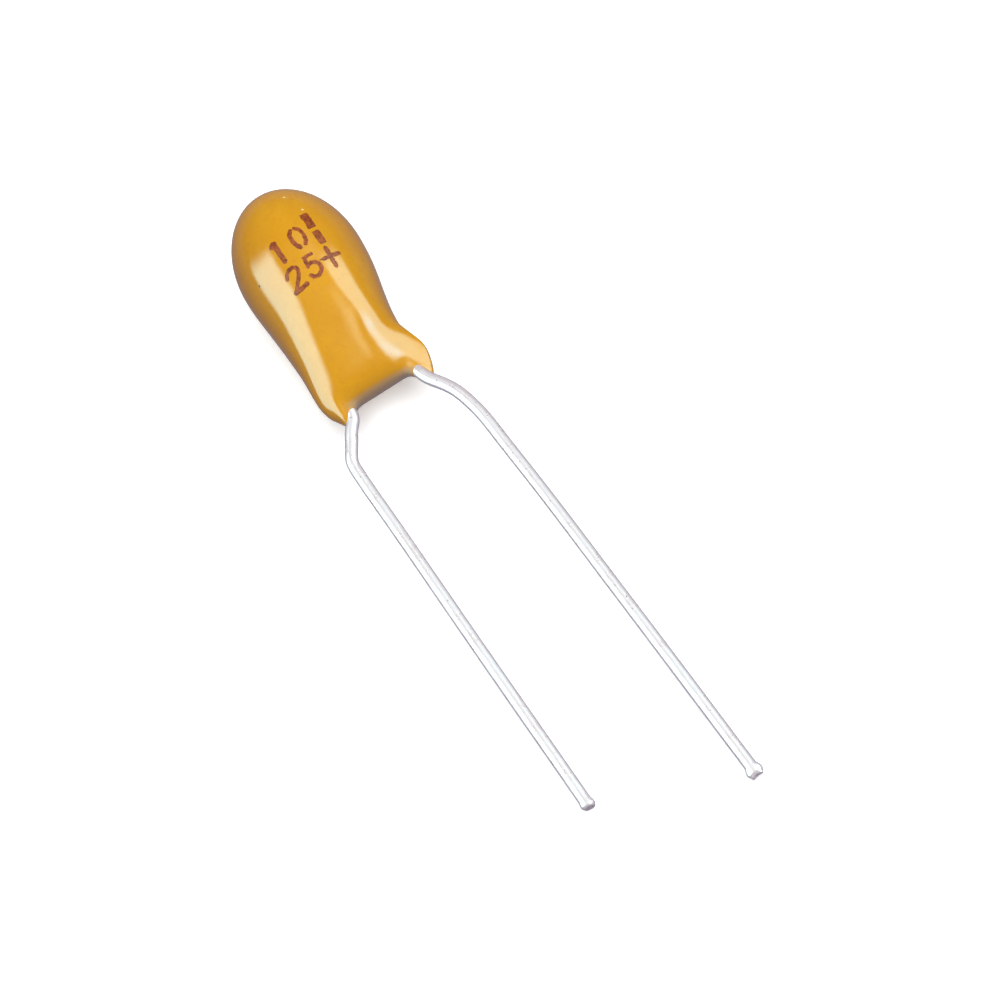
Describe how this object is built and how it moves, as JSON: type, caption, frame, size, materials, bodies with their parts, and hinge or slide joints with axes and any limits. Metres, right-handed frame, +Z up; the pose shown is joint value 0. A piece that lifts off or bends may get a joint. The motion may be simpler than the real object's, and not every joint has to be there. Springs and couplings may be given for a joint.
{
  "type": "dipped tantalum capacitor",
  "caption": "Dipped solid tantalum capacitor: glossy golden resin body with a rounded top, formed round wire leads with the positive one longer, and a layered pellet inside; lies on its back.",
  "frame": {"origin": "centre of the bounding box's base: the surface the part lies on, touched by the back of the body and the tips of both leads", "axes": "+X along the leads towards their tips, +Y towards the positive lead, +Z up, out of the marked front of the body"},
  "size_m": [0.031, 0.0064, 0.0048],
  "materials": {
    "epoxy_coat": "glossy dipped resin, golden yellow",
    "positive_lead": "bright tin plating",
    "negative_lead": "bright tin plating",
    "tantalum_pellet": "sintered, matt",
    "tantalum_riser": "drawn wire",
    "insulating_washer": "moulded",
    "manganese_dioxide_skin": "rough, matt",
    "graphite_coat": "smooth, dull",
    "silver_coat": "dried silver paint",
    "solder_coat": "dipped solder, satin"
  },
  "bodies": {
    "root": {"epoxy_coat": "epoxy_coat", "positive_lead": "positive_lead", "negative_lead": "negative_lead", "tantalum_pellet": "tantalum_pellet", "tantalum_riser": "tantalum_riser", "insulating_washer": "insulating_washer", "manganese_dioxide_skin": "manganese_dioxide_skin", "graphite_coat": "graphite_coat", "silver_coat": "silver_coat", "solder_coat": "solder_coat"}
  },
  "joints": []
}
